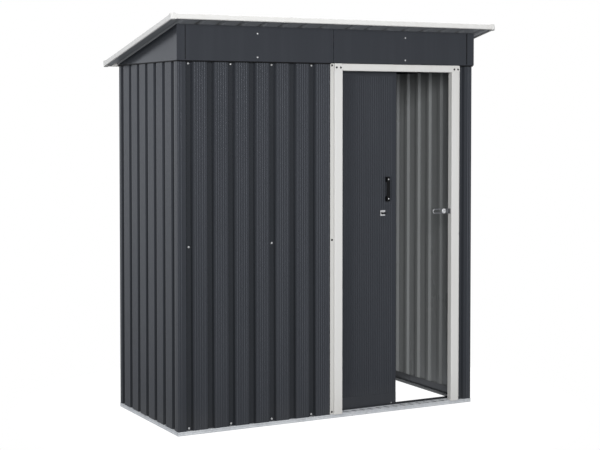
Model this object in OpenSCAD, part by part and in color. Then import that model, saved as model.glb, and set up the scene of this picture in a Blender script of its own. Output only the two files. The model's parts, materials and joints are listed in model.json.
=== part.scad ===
// Metal tool shed with a single-slope roof and one sliding door.
// Millimetres, +Z up, the front faces -Y. The origin is on the ground under the middle of the roof.

/* [Building] */
// Width over the wall sheets
wall_w = 1524; // [1460:1:1700]
// Depth over the wall sheets
wall_d = 696; // [600:1:900]
// Height of the eaves line, where the wall sheets end
eave_z = 1620; // [1400:1:1900]

/* [Ribbed sheets] */
// Thickness of the wall, roof and door sheets
sheet_t = 1; // [0.6:0.1:1.5]
// Distance from one groove of a sheet to the next
rib_pitch = 100.5; // [92:0.5:112]
// Depth of the grooves
rib_depth = 12; // [8:0.5:16]
// Width of a groove over its slanted sides
rib_w = 33.5; // [28:0.5:40]
// Width of one slanted side of a groove
rib_flank = 7; // [4:0.5:10]
// Flat strip between the end of a sheet and its first groove
end_pan = 38.5; // [34:0.5:44]
// Width of the strip where one sheet laps over the next
lap_w = 20; // [14:1:30]
// Height of the fine stiffening beads on the flat strips
bead_h = 0.8; // [0.4:0.1:1.2]
// Width of a fine stiffening bead
bead_w = 5; // [4:0.5:7]
// Distance from one bead to the next
bead_pitch = 11.5; // [9:0.5:16]

/* [Base] */
// Metal thickness of the rails and the door frame
rail_t = 1.2; // [0.8:0.1:2]
// Height of the outer face of the base rails
base_h = 17; // [12:0.5:25]
// Height of the upstand that the wall sheets are screwed to
upstand_z = 45; // [36:1:60]
// How far the base rails stand out in front of the wall sheets
base_proud = 2.5; // [1.5:0.5:6]
// Depth of the bead along the outer face of the base rails
base_bead = 1; // [0.5:0.1:1.5]

/* [Frame] */
// Leg of the corner posts
post_leg = 24; // [18:1:34]
// Metal thickness of the corner posts
post_t = 1; // [0.6:0.1:1.5]
// Leg of the rails along the top of the walls
top_rail_leg = 26; // [20:1:34]
// Height of the middle of the brace behind the front wall
brace_z = 815; // [600:5:1000]
// Height of the brace section
brace_h = 32; // [24:1:44]
// Depth of the brace section
brace_d = 16; // [10:1:22]

/* [Doorway] */
// Clear width between the jambs
doorway_w = 597; // [480:1:630]
// Distance from the right wall to the clear doorway
doorway_side = 117; // [110:1:130]
// Width of the face of a jamb
jamb_face = 43; // [34:1:46]
// Width of the flange that screws the left jamb to the wall
jamb_flange = 18; // [12:1:22]
// Width of the narrow flange of the right jamb, beside the corner
jamb_lip = 6; // [4:0.5:12]
// How far the face of a jamb stands in front of the wall
jamb_step = 10; // [6:0.5:14]
// How far the inner return of a jamb reaches behind the wall
jamb_return = 20; // [14:1:22]
// Radius of the rounded folds of the door frame and the roof trims
fold_r = 4; // [2:0.5:5]
// Height of the face of the header
header_h = 33; // [28:1:50]
// Gap between the header and the eaves line
header_drop = 2; // [1:0.5:6]
// Depth of the sloped sill behind the wall line
sill_d = 22; // [16:1:26]
// Rise of the sloped sill above the base rail
sill_rise = 6; // [3:0.5:10]
// Distance from one slanted mark of the sill to the next
mark_pitch = 46; // [36:1:60]
// Height of the marks pressed up out of the sill
mark_h = 1; // [0.5:0.1:2]

/* [Sliding door] */
// Distance from the wall line to the middle of the door
door_plane = 48; // [46:0.5:56]
// How far the closed door reaches behind each jamb
door_lap = 17; // [10:1:30]
// How far the door stands open, from closed
door_open = 293; // [0:1:300]
// Height of the underside of the door
door_bottom = 14; // [8:0.5:18]
// Height of the plain band at the top of the door
door_band = 32; // [26:1:50]
// Height of the plain band at the bottom of the door
door_foot = 62; // [48:1:76]
// Distance from one fine rib of the door to the next
door_rib_pitch = 10; // [8:0.5:14]
// Depth of the fine ribs of the door
door_rib_depth = 2; // [1.5:0.1:3]
// Plain strip at each side of the door
door_stile = 16; // [12:1:24]
// Width over the door tracks
track_w = 30; // [26:1:34]
// Height of the top track
track_h = 26; // [20:1:32]
// Height of the low walls of the bottom track
track_lip = 25; // [14:1:28]
// Running gap between a glide and its track
glide_gap = 0.3; // [0.2:0.1:0.6]
// Length of a glide
glide_l = 60; // [40:1:90]

/* [Handle and lock] */
// Distance from the edge of the door to the middle of the handle
handle_inset = 51; // [40:1:70]
// Height of the middle of the handle
handle_z = 1038; // [900:1:1150]
// Length of the handle
handle_l = 115; // [100:1:140]
// Width of the handle
handle_w = 17; // [12:1:24]
// How far the handle stands out from the door
handle_d = 16; // [14:1:21]
// Thickness of the handle
handle_t = 4; // [3:0.5:6]
// Distance from the edge of the door to the middle of the staple
staple_inset = 74; // [68:1:90]
// Height of the middle of the lock
lock_z = 926; // [800:1:960]
// Width and height of the staple plate
staple_plate = 26; // [22:1:32]
// How far the eye of the staple stands out from its plate
staple_eye = 17; // [14:0.5:18]
// Length of the hasp, from the jamb to its free end
hasp_l = 87; // [76:1:96]
// Height of the hasp
hasp_h = 24; // [20:1:30]
// Length of the slot in the hasp
hasp_slot = 44; // [34:1:50]
// Metal thickness of the hasp and its bracket
hasp_t = 1.5; // [1:0.1:2]
// Outer radius of the hinge of the hasp
hinge_r = 3.5; // [3:0.1:4.5]
// Radius of the hinge pin
hinge_pin_r = 1.5; // [1:0.1:1.8]
// Running gap at the hinge
hinge_gap = 0.3; // [0.2:0.1:0.5]

/* [Roof] */
// Height of the fascia over the front wall
fascia_h = 152; // [110:1:200]
// Height of the roof over the eaves line at the back wall
back_rise = 2; // [2:0.5:10]
// Overhang in front of the front wall
roof_front = 99; // [60:1:140]
// Overhang behind the back wall
roof_back = 31; // [25:1:60]
// Overhang beside each side wall
roof_side = 68; // [40:1:100]
// How far the fascia stands in front of the front wall
fascia_proud = 8; // [5:0.5:12]
// How far the gables stand outside the side walls
gable_proud = 5; // [3:0.5:10]
// Width of the lips folded along the fascia and gables
gable_lip = 20; // [16:1:26]
// Width of the corner trims of the fascia
fascia_corner = 36; // [25:1:50]
// How far the corner trims stand out from the fascia
corner_stand = 2.2; // [1.6:0.1:4]
// Gap at the seam in the middle of the fascia
seam_gap = 2; // [1:0.5:4]
// Height of the white edge trims of the roof
trim_h = 24; // [20:1:32]
// Depth of the edge trims, from the edge of the roof inwards
trim_d = 22; // [16:1:30]
// Width of the lip of the edge trims under the roof sheets
trim_lip = 8; // [6:0.5:14]
// How far the edge trims reach below the roof sheets
trim_drop = 4; // [2.5:0.5:5]
// Length of the caps on the corners of the edge trims
cap_l = 22; // [18:1:32]
// Radius of the rounded corner of the caps
cap_r = 9; // [6:0.5:12]
// Height of the roof beam
beam_h = 34; // [24:1:50]
// Width of the roof beam
beam_w = 30; // [20:1:40]

/* [Hidden] */
$fn = 32;

// Colours of the coated and bare metal
ANTHRACITE = [0.23, 0.24, 0.26];
OFF_WHITE = [0.88, 0.87, 0.84];
GALVANISED = [0.74, 0.75, 0.76];
BLACK = [0.08, 0.08, 0.08];

// Roof slope, and how far the capped roof edges reach beyond the front and back walls
slope = atan((fascia_h - back_rise) / wall_d);
reach_front = roof_front + rail_t * cos(slope) + (trim_drop + rail_t) * sin(slope);
reach_back = roof_back + rail_t * cos(slope) + (trim_h - trim_drop + rail_t) * sin(slope);

// Wall lines: half width, front and back face, with the roof centred over the origin
half_w = wall_w / 2;
front_y = (reach_front - reach_back - wall_d) / 2;
back_y = front_y + wall_d;
// Depth from the outer face of a sheet to the inner face of its grooves
skin = rib_depth + sheet_t;

// Doorway: clear edges, header and sill
doorway_r = half_w - doorway_side;
doorway_l = doorway_r - doorway_w;
header_top = eave_z - header_drop;
// Hinge of the hasp, beside the inner edge of the right jamb
hinge_x = doorway_r - hinge_r - hinge_gap;
hinge_inset = 1;
hinge_y = front_y + jamb_return - hinge_inset;
knuckle_h = hasp_h / 3;
// How far a sheet reaches behind the face of a jamb
jamb_cover = 8;

// Door: edges where it stands in the photograph, its middle plane and its top
door_w = doorway_w + 2 * door_lap;
door_r = doorway_r + door_lap - door_open;
door_l = door_r - door_w;
door_y = front_y + door_plane;
leaf_d = door_rib_depth + sheet_t;
leaf_y = door_y - leaf_d / 2;
// Running height between the door and the cover of the top track
door_headroom = 20;
door_top = eave_z - rail_t - door_headroom;
door_face_y = leaf_y - sheet_t;
track_front = door_plane - track_w / 2;
track_back = door_plane + track_w / 2;

// Roof: width, and the edges measured down the slope from the front wall
roof_w = wall_w + 2 * roof_side;
slope_front = -roof_front / cos(slope);
slope_back = (wall_d + roof_back) / cos(slope);
// Reach of a cutting block that clears the whole building
FAR = 3 * wall_w;
// Facets of a rounded fold
FOLD_STEPS = 3;

function roof_under(y) = eave_z + back_rise + (back_y - y) * tan(slope);

// Left-hand normal of the segment that starts at point i of a path
function normal(p, i) = let (d = p[i + 1] - p[i], n = norm(d)) [-d.y / n, d.x / n];

// Offset direction at point i of a path, mitred between its two segments
function mitre(p, i) = i == 0 ? normal(p, 0)
    : i == len(p) - 1 ? normal(p, i - 1)
    : let (a = normal(p, i - 1), b = normal(p, i)) (a + b) / (1 + a * b);

// The same path with its folds rounded to radius r, in steps of a few flat facets
function rounded(p, r) = [for (i = [0 : len(p) - 1]) each i == 0 || i == len(p) - 1 ? [p[i]]
    : let (a = normal(p, i - 1), b = normal(p, i), turn = sign(a.x * b.y - a.y * b.x),
        centre = p[i] + turn * r * mitre(p, i))
    [for (k = [0 : FOLD_STEPS]) let (m = (1 - k / FOLD_STEPS) * a + k / FOLD_STEPS * b)
        centre - turn * r * m / norm(m)]];

// Outline of a strip of metal of thickness t folded along a path, with the metal to its left
function folded(p, t) = concat(p, [for (i = [len(p) - 1 : -1 : 0]) p[i] + t * mitre(p, i)]);

// Fine beads of height h between two places on a flat strip, centred
function beads(a, b, h) = let (n = max(0, round((b - a - bead_w) / bead_pitch)),
        first = (a + b) / 2 - (n - 1) / 2 * bead_pitch)
    [for (i = [0 : 1 : n - 1]) let (c = first + i * bead_pitch)
        each [[c - bead_w / 2, 0], [c, h], [c + bead_w / 2, 0]]];

// Section of a ribbed sheet of length l: flat strips with beads of height bead, and grooves to the
// positive side. The last strip is joggled up by one thickness where it laps over the next sheet.
function ribbed(l, lapped = false, bead = -bead_h) = let (
        n = floor((l - end_pan - rib_w - (lapped ? lap_w + jamb_cover : jamb_cover)) / rib_pitch) + 1,
        groove = [[0, 0], [rib_flank, rib_depth], [rib_w - rib_flank, rib_depth], [rib_w, 0]],
        last = end_pan + (n - 1) * rib_pitch + rib_w,
        free_end = l - jamb_flange - jamb_cover)
    concat([[0, 0]],
        [for (k = [0 : n - 1]) let (u = end_pan + k * rib_pitch) each concat(
            [for (p = groove) p + [u, 0]],
            k < n - 1 ? beads(u + rib_w, u + rib_pitch, bead) : [])],
        lapped ? [[l - lap_w - sheet_t, 0], [l - lap_w, sheet_t], [l, sheet_t]]
            : concat(l - last > 2 * bead_pitch ? beads(last, free_end, bead) : [], [[l, 0]]));

// A folded strip along +Z
module strip(path, t, h) {
    linear_extrude(h) polygon(folded(path, t));
}

// A folded strip along +X, its path given in Y and Z
module beam_x(path, t, x0, x1) {
    translate([x0, 0, 0]) rotate([90, 0, 90]) strip(path, t, x1 - x0);
}

// Puts a shape made for the front-left corner, or the left side, on the right as well
module mirrored() {
    children();
    mirror([1, 0, 0]) children();
}

// Places the first wall line for a wall seen from outside: 0 front, 1 right, 2 back, 3 left
module on_side(side) {
    run = side % 2 == 0 ? wall_w : wall_d;
    reach = side % 2 == 0 ? wall_d : wall_w;
    translate([0, (front_y + back_y) / 2, 0]) rotate(90 * side)
        translate([-run / 2, -reach / 2, 0]) children();
}

function side_run(side) = side % 2 == 0 ? wall_w : wall_d;

// Base rail along one side: flange on the ground, outer face, ledge and upstand, with mitred ends
module base_rail(side) {
    run = side_run(side);
    bead = 3 * base_bead;
    section = [[track_front, 0], [-base_proud, 0], [-base_proud, base_h / 2 - bead],
        [base_bead - base_proud, base_h / 2], [-base_proud, base_h / 2 + bead], [-base_proud, base_h],
        [skin, base_h], [skin, upstand_z]];
    on_side(side) intersection() {
        beam_x(section, -rail_t, -base_proud, run + base_proud);
        linear_extrude(upstand_z) polygon([[-base_proud, -base_proud], [run + base_proud, -base_proud],
            [run - track_front, track_front], [track_front, track_front]]);
    }
}

module base_rail_front() {
    // The upstand is cut away across the doorway, clear of the returns of the jambs
    clear = 4;
    notch = rail_t + clear;
    color(GALVANISED) difference() {
        base_rail(0);
        translate([doorway_l - notch, front_y + skin - rail_t, base_h])
            cube([doorway_w + 2 * notch, track_front, upstand_z]);
    }
}

module base_rail_back() {
    color(GALVANISED) base_rail(2);
}

module base_rail_left() {
    color(GALVANISED) base_rail(3);
}

module base_rail_right() {
    color(GALVANISED) base_rail(1);
}

// Sloped sill between the jambs, from the base rail up to a crest and down behind it
module door_sill() {
    edge_y = front_y - base_proud;
    crest_y = front_y + sill_d;
    section = [[edge_y, base_h], [crest_y, base_h + sill_rise], [crest_y, rail_t]];
    n = floor(doorway_w / mark_pitch);
    first = (doorway_l + doorway_r - (n - 1) * mark_pitch) / 2;
    color(GALVANISED) {
        beam_x(section, rail_t, doorway_l, doorway_r);
        for (i = [0 : n - 1])
            translate([first + i * mark_pitch, edge_y, base_h])
                rotate([atan(sill_rise / (sill_d + base_proud)), 0, 0]) sill_mark();
    }
}

// One slanted mark, pressed up out of the sloped sill
module sill_mark() {
    edge = 5;
    half = 4;
    lean = mark_pitch / 4;
    rear = sill_d + base_proud - edge;
    translate([0, 0, rail_t / 2]) linear_extrude(rail_t / 2 + mark_h)
        polygon([[-lean - half, edge], [-lean + half, edge], [lean + half, rear], [lean - half, rear]]);
}

// Channel on the ground that guides the foot of the door
module door_track_bottom() {
    section = [[door_y - track_w / 2, track_lip], [door_y - track_w / 2, 0],
        [door_y + track_w / 2, 0], [door_y + track_w / 2, track_lip]];
    color(ANTHRACITE) beam_x(section, rail_t, track_front - half_w, half_w - track_front);
}

// Corner post, an angle with beaded legs around the ends of two wall sheets
module corner_post() {
    leg = beads(0, post_leg, bead_h);
    path = concat([[post_leg, -post_t]], [for (p = leg) [post_leg - p.x, -post_t - p.y]],
        [[-post_t, -post_t]], [for (p = leg) [-post_t - p.y, p.x]], [[-post_t, post_leg]]);
    translate([-half_w, front_y, base_h]) strip(path, -post_t, eave_z - base_h);
}

// The same post at the back
module at_back() {
    translate([0, front_y + back_y, 0]) mirror([0, 1, 0]) children();
}

module corner_post_front_left() {
    color(ANTHRACITE) corner_post();
}

module corner_post_front_right() {
    color(ANTHRACITE) mirror([1, 0, 0]) corner_post();
}

module corner_post_back_left() {
    color(ANTHRACITE) at_back() corner_post();
}

module corner_post_back_right() {
    color(ANTHRACITE) mirror([1, 0, 0]) at_back() corner_post();
}

// Ribbed sheet of length l along the front wall line, from the left corner
module wall_sheet(l, lapped = false) {
    translate([-half_w, front_y, base_h]) strip(ribbed(l, lapped), sheet_t, eave_z - base_h);
}

module front_wall_sheet() {
    color(ANTHRACITE) wall_sheet(doorway_l - jamb_face + jamb_cover + half_w);
}

module front_wall_strip() {
    color(ANTHRACITE) mirror([1, 0, 0]) wall_sheet(doorway_side - jamb_face + jamb_cover);
}

// Side wall sheet, between the sheets of the front and back walls
module side_sheet() {
    path = [for (p = ribbed(wall_d)) [p.y - half_w, front_y + min(max(p.x, sheet_t), wall_d - sheet_t)]];
    translate([0, 0, base_h]) strip(path, -sheet_t, eave_z - base_h);
}

module left_wall_sheet() {
    color(ANTHRACITE) side_sheet();
}

module right_wall_sheet() {
    color(ANTHRACITE) mirror([1, 0, 0]) side_sheet();
}

module back_wall_sheet_left() {
    color(ANTHRACITE) at_back() wall_sheet(half_w + lap_w / 2);
}

module back_wall_sheet_right() {
    color(ANTHRACITE) mirror([1, 0, 0]) at_back() wall_sheet(half_w + lap_w / 2, lapped = true);
}

// Angle along the top of a wall, against the inner faces of the grooves; inward is its depth
module top_rail(side, inward, start, end) {
    section = [[skin, eave_z - top_rail_leg], [skin, eave_z], [inward, eave_z]];
    on_side(side) beam_x(section, -rail_t, start, side_run(side) - end);
}

module top_rail_front() {
    color(ANTHRACITE) top_rail(0, track_back, skin, skin);
}

module top_rail_back() {
    color(ANTHRACITE) top_rail(2, skin + top_rail_leg, skin, skin);
}

module top_rail_left() {
    color(ANTHRACITE) top_rail(3, skin + top_rail_leg, skin + top_rail_leg, track_back);
}

module top_rail_right() {
    color(ANTHRACITE) top_rail(1, skin + top_rail_leg, track_back, skin + top_rail_leg);
}

// Hat section behind the front wall sheet, at the height of the middle row of screws
module front_wall_brace() {
    foot = 8;
    crown = brace_h / 2 - foot;
    inner = front_y + skin;
    section = [[inner, -brace_h / 2], [inner, -crown], [inner + brace_d, -crown],
        [inner + brace_d, crown], [inner, crown], [inner, brace_h / 2]];
    color(ANTHRACITE) translate([0, 0, brace_z])
        beam_x(section, -rail_t, skin - half_w, doorway_l - jamb_face + jamb_cover);
}

// Left jamb: flange on the wall sheet, face standing forward, return into the doorway
module jamb(inner_x, flange) {
    face_y = front_y - jamb_step;
    flange_y = front_y - rail_t;
    face = [[inner_x - jamb_face, flange_y], [inner_x - jamb_face, face_y], [inner_x, face_y],
        [inner_x, front_y + jamb_return]];
    path = concat([[inner_x - jamb_face - flange, flange_y]], rounded(face, fold_r));
    rail_z = eave_z - top_rail_leg;
    difference() {
        translate([0, 0, base_h]) strip(path, rail_t, header_top - base_h);
        // The return is notched round the front top rail
        translate([inner_x - 2 * rail_t, front_y + skin, rail_z])
            cube([3 * rail_t, jamb_return, top_rail_leg]);
    }
}

module door_jamb_left() {
    color(OFF_WHITE) jamb(doorway_l, jamb_flange);
}

module door_jamb_right() {
    color(OFF_WHITE) mirror([1, 0, 0]) jamb(-doorway_r, jamb_lip);
}

// Header over the jambs: a face in front of theirs, and a lip and a top flange between them
module door_header() {
    face_y = front_y - jamb_step - rail_t;
    lip = 18;
    foot_z = header_top - header_h;
    section = [[face_y + lip, foot_z], [face_y, foot_z], [face_y, header_top], [front_y + skin, header_top]];
    color(OFF_WHITE) {
        beam_x(rounded(section, fold_r), -rail_t, doorway_l, doorway_r);
        translate([doorway_l - jamb_face, face_y, foot_z + fold_r])
            cube([doorway_w + 2 * jamb_face, rail_t, header_h - 2 * fold_r]);
    }
}

// Channel under the front top rail that guides the head of the door
module door_track_top() {
    top = eave_z - rail_t;
    section = [[door_y - track_w / 2, top - track_h], [door_y - track_w / 2, top],
        [door_y + track_w / 2, top], [door_y + track_w / 2, top - track_h]];
    color(GALVANISED) beam_x(section, -rail_t, track_front - half_w, half_w - track_front);
}

// Bracket of the hasp: a leaf on the return of the right jamb, two knuckles and the hinge pin
module hasp_bracket() {
    leaf_l = 20;
    room = hinge_r + hinge_gap;
    color("silver") translate([0, 0, lock_z]) {
        difference() {
            translate([doorway_r - hasp_t, hinge_y - leaf_l, -hasp_h / 2]) cube([hasp_t, leaf_l, hasp_h]);
            // Room for the knuckle of the hasp
            translate([doorway_r - 2 * hasp_t, hinge_y - room, -knuckle_h / 2])
                cube([3 * hasp_t, 2 * room, knuckle_h]);
        }
        for (z = [-hasp_h / 2, knuckle_h / 2])
            translate([hinge_x, hinge_y, z]) cylinder(r = hinge_r, h = knuckle_h);
        translate([hinge_x, hinge_y, -hasp_h / 2]) cylinder(r = hinge_pin_r, h = hasp_h);
    }
}

// Hinged hasp: a knuckle on the pin and a slotted strap with a round end that reaches over the doorway
module lock_hasp() {
    slot_h = hasp_h / 2;
    slot_x = doorway_r - hasp_l + hasp_h / 2;
    root_x = hinge_x - hinge_r - 2 * hinge_gap;
    strap_y = hinge_y + hinge_r - hasp_t;
    held_h = knuckle_h - 2 * hinge_gap;
    color("silver") translate([0, 0, lock_z]) difference() {
        union() {
            translate([0, strap_y, 0]) rotate([-90, 0, 0]) linear_extrude(hasp_t) difference() {
                union() {
                    translate([slot_x, 0]) circle(d = hasp_h);
                    translate([slot_x, -hasp_h / 2]) square([root_x - slot_x, hasp_h]);
                    translate([slot_x, -held_h / 2]) square([hinge_x - slot_x, held_h]);
                }
                translate([slot_x, 0]) circle(d = slot_h);
                translate([slot_x + hasp_slot - slot_h, 0]) circle(d = slot_h);
                translate([slot_x, -slot_h / 2]) square([hasp_slot - slot_h, slot_h]);
            }
            translate([hinge_x, hinge_y, -held_h / 2]) cylinder(r = hinge_r, h = held_h);
        }
        translate([hinge_x, hinge_y, -hasp_h]) cylinder(r = hinge_pin_r + hinge_gap, h = 2 * hasp_h);
    }
}

// Front fascia over half the width, cut to the slope of the roof, with a lip on the wall below
module fascia() {
    y0 = front_y - fascia_proud;
    y1 = y0 + sheet_t;
    end_x = half_w + gable_proud - sheet_t;
    lip_y = front_y + skin;
    face = [[y0, eave_z], [lip_y, eave_z], [lip_y, eave_z + sheet_t], [y1, eave_z + sheet_t],
        [y1, roof_under(y1)], [y0, roof_under(y0)]];
    translate([-end_x, 0, 0]) rotate([90, 0, 90]) linear_extrude(end_x - seam_gap / 2) polygon(face);
}

module fascia_left() {
    color(ANTHRACITE) fascia();
}

module fascia_right() {
    color(ANTHRACITE) mirror([1, 0, 0]) fascia();
}

// Angle around the front corner of the fascia and gable, with lips folded back against them, cut to
// the slope of the roof
module fascia_corners() {
    x0 = -half_w - gable_proud - corner_stand;
    y0 = front_y - fascia_proud - corner_stand;
    leg = fascia_corner + corner_stand;
    path = [[x0 + leg, y0 + corner_stand], [x0 + leg, y0], [x0, y0], [x0, y0 + leg],
        [x0 + corner_stand, y0 + leg]];
    color(ANTHRACITE) mirrored() difference() {
        translate([0, 0, eave_z]) strip(path, -sheet_t, 2 * fascia_h);
        above_roof();
    }
}

// Everything above the underside of the roof sheets
module above_roof() {
    on_roof() translate([-FAR / 2, -FAR / 2, 0]) cube(FAR);
}

// Puts a shape on the slope: X across, Y down the slope from the front wall, Z off the roof
module on_roof() {
    translate([0, front_y, roof_under(front_y)]) rotate([-slope, 0, 0]) children();
}

// Triangular gable of the left side, with a lip on the wall and a lip under the roof sheets
module gable() {
    x0 = -half_w - gable_proud;
    y0 = front_y - fascia_proud;
    lip_y = front_y + skin;
    web = [[y0, eave_z], [back_y, eave_z], [back_y, roof_under(back_y)], [y0, roof_under(y0)]];
    y1 = y0 + sheet_t;
    y2 = back_y - gable_lip;
    z1 = roof_under(y1);
    z2 = roof_under(y2);
    upper = [[y1, z1], [y1, z1 - sheet_t], [y2, z2 - sheet_t], [y2, z2]];
    translate([x0, 0, 0]) rotate([90, 0, 90]) {
        linear_extrude(sheet_t) polygon(web);
        linear_extrude(gable_lip) polygon(upper);
    }
    translate([x0, lip_y, eave_z]) cube([gable_lip, back_y - lip_y, sheet_t]);
}

module gable_left() {
    color(ANTHRACITE) gable();
}

module gable_right() {
    color(ANTHRACITE) mirror([1, 0, 0]) gable();
}

// Ribbed roof sheet over the left half; the ribs stand up and run down the slope
module roof_sheet(lapped) {
    edge = roof_w / 2 - rail_t;
    on_roof() difference() {
        translate([-edge, slope_back - rail_t, 0]) rotate([90, 0, 0])
            strip(ribbed(edge + lap_w / 2, lapped, bead_h), sheet_t, slope_back - slope_front - 2 * rail_t);
        // The outer corners are cut off inside the caps
        translate([-roof_w / 2, slope_front, 0]) corner_cut();
        translate([-roof_w / 2, slope_back, 0]) mirror([0, 1, 0]) corner_cut();
    }
}

// Corner of the roof that stays free inside a rounded cap
module corner_cut() {
    past = 1;
    translate([-past, -past, -trim_h]) linear_extrude(3 * trim_h)
        polygon([[0, 0], [cap_r + 2 * past, 0], [0, cap_r + 2 * past]]);
}

module roof_sheet_left() {
    color(ANTHRACITE) roof_sheet(false);
}

module roof_sheet_right() {
    color(ANTHRACITE) mirror([1, 0, 0]) roof_sheet(true);
}

// Channel under the middle of the roof, from gable to gable
module roof_beam() {
    end_x = half_w + gable_proud - sheet_t;
    below_lip = sheet_t / cos(slope);
    middle = wall_d / 2 / cos(slope);
    section = [[middle - beam_w / 2, -beam_h], [middle - beam_w / 2, 0], [middle + beam_w / 2, 0],
        [middle + beam_w / 2, -beam_h]];
    color(GALVANISED) difference() {
        on_roof() beam_x(section, -rail_t, -end_x, end_x);
        mirrored() translate([-end_x - 1, 0, 0]) gable_lip_space(below_lip);
    }
}

// Room for the upper lip of a gable, cut out of the end of the beam
module gable_lip_space(depth) {
    on_roof() translate([0, 0, -depth]) cube([gable_lip, FAR, FAR]);
}

// Channel around one edge of the roof, along +X, with mitred ends cut off inside the caps
module roof_trim(run) {
    top = trim_h - trim_drop;
    section = [[trim_lip, -trim_drop], [0, -trim_drop], [0, top], [trim_d, top]];
    end = [[cap_r, 0], [cap_r / 2, cap_r / 2], [trim_d, trim_d]];
    intersection() {
        beam_x(rounded(section, fold_r), -rail_t, 0, run);
        translate([0, 0, -trim_h]) linear_extrude(2 * trim_h)
            polygon(concat(end, [for (i = [2 : -1 : 0]) [run - end[i].x, end[i].y]]));
    }
}

module roof_trim_front() {
    color(OFF_WHITE) on_roof() translate([-roof_w / 2, slope_front, 0]) roof_trim(roof_w);
}

module roof_trim_back() {
    color(OFF_WHITE) on_roof() translate([roof_w / 2, slope_back, 0]) rotate(180) roof_trim(roof_w);
}

module roof_trim_left() {
    color(OFF_WHITE) on_roof() translate([-roof_w / 2, slope_back, 0]) rotate(-90)
        roof_trim(slope_back - slope_front);
}

module roof_trim_right() {
    color(OFF_WHITE) on_roof() translate([roof_w / 2, slope_front, 0]) rotate(90)
        roof_trim(slope_back - slope_front);
}

// Rounded cap over one corner of the edge trims, open to the inside
module corner_cap() {
    translate([0, 0, -trim_drop]) difference() {
        translate([0, 0, -rail_t]) linear_extrude(trim_h + 2 * rail_t) cap_plan(rail_t, cap_l);
        linear_extrude(trim_h) cap_plan(0, 2 * cap_l);
    }
}

// Plan of a corner with one rounded point, grown outwards, that reaches so far along both edges
module cap_plan(grow, reach) {
    translate([cap_r, cap_r]) circle(r = cap_r + grow);
    translate([cap_r, -grow]) square([reach - cap_r, reach + grow]);
    translate([-grow, cap_r]) square([reach + grow, reach - cap_r]);
}

module roof_corner_caps() {
    color(OFF_WHITE) on_roof() mirrored() {
        translate([-roof_w / 2, slope_front, 0]) corner_cap();
        translate([-roof_w / 2, slope_back, 0]) mirror([0, 1, 0]) corner_cap();
    }
}

// Door sheet with fine upright ribs between plain strips at its sides
module door_leaf() {
    n = floor((door_w - 2 * door_stile) / door_rib_pitch);
    first = (door_w - n * door_rib_pitch) / 2;
    rib = [[0.1, 0], [0.3, door_rib_depth], [0.5, door_rib_depth], [0.7, 0]];
    path = concat([[0, 0]], [for (i = [0 : n - 1]) for (p = rib)
        [first + (i + p.x) * door_rib_pitch, p.y]], [[door_w, 0]]);
    color(ANTHRACITE) translate([door_l, leaf_y, door_bottom + sheet_t])
        strip(path, sheet_t, door_top - door_bottom - 2 * sheet_t);
}

// Channel folded round the top or bottom edge of the door sheet, with its web at z and its lips at end
module door_rail(z, end) {
    rear = door_face_y + leaf_d + 2 * sheet_t;
    section = [[door_face_y, end], [door_face_y, z], [rear, z], [rear, end]];
    beam_x(section, sign(end - z) * sheet_t, door_l, door_r);
}

module door_top_rail() {
    color(ANTHRACITE) door_rail(door_top, door_top - door_band);
}

module door_bottom_rail() {
    color(ANTHRACITE) door_rail(door_bottom, door_bottom + door_foot);
}

// Straight pull handle: two screwed ends and a grip between them that stands off the door
module door_handle() {
    tab = 22;
    slant = 4;
    corner = 2;
    end = handle_l / 2;
    grip = end - tab;
    face_y = leaf_y - handle_d;
    back_face = face_y + handle_t;
    side = [[leaf_y, -end], [leaf_y, -grip], [back_face, slant - grip], [back_face, grip - slant],
        [leaf_y, grip], [leaf_y, end], [face_y + corner, end], [face_y, end - corner],
        [face_y, corner - end], [face_y + corner, -end]];
    color(BLACK) translate([door_r - handle_inset - handle_w / 2, 0, handle_z]) rotate([90, 0, 90])
        linear_extrude(handle_w) polygon(side);
}

// Staple for a padlock: a square plate on the door and an eye of strap set through the plate
module door_staple() {
    plate_t = 1.5;
    eye_t = 2;
    eye_w = 18;
    eye_h = 8;
    plate_y = leaf_y - plate_t;
    path = [[-eye_w / 2, leaf_y], [-eye_w / 2, plate_y - staple_eye], [eye_w / 2, plate_y - staple_eye],
        [eye_w / 2, leaf_y]];
    color("silver") translate([door_r - staple_inset, 0, lock_z]) {
        translate([-staple_plate / 2, plate_y, -staple_plate / 2])
            cube([staple_plate, plate_t, staple_plate]);
        translate([0, 0, -eye_h / 2]) strip(rounded(path, 2 * eye_t), eye_t, eye_h);
    }
}

// Plastic glides: two under the foot of the door and two on its head
module door_glides() {
    margin = 30;
    inside = track_w - 2 * rail_t - 2 * glide_gap;
    head_gap = 5;
    head_h = door_headroom - rail_t - head_gap;
    color(BLACK) for (x = [door_l + margin, door_r - margin - glide_l]) {
        translate([x, door_y - inside / 2, rail_t + glide_gap])
            cube([glide_l, inside, door_bottom - rail_t - glide_gap]);
        translate([x, door_y - inside / 2, door_top]) cube([glide_l, inside, head_h]);
    }
}

base_rail_front();
base_rail_back();
base_rail_left();
base_rail_right();
door_sill();
door_track_bottom();
corner_post_front_left();
corner_post_front_right();
corner_post_back_left();
corner_post_back_right();
front_wall_sheet();
front_wall_strip();
left_wall_sheet();
right_wall_sheet();
back_wall_sheet_left();
back_wall_sheet_right();
top_rail_front();
top_rail_back();
top_rail_left();
top_rail_right();
front_wall_brace();
door_jamb_left();
door_jamb_right();
door_header();
door_track_top();
hasp_bracket();
lock_hasp();
fascia_left();
fascia_right();
fascia_corners();
gable_left();
gable_right();
roof_sheet_left();
roof_sheet_right();
roof_beam();
roof_trim_front();
roof_trim_back();
roof_trim_left();
roof_trim_right();
roof_corner_caps();
door_leaf();
door_top_rail();
door_bottom_rail();
door_handle();
door_staple();
door_glides();
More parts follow.
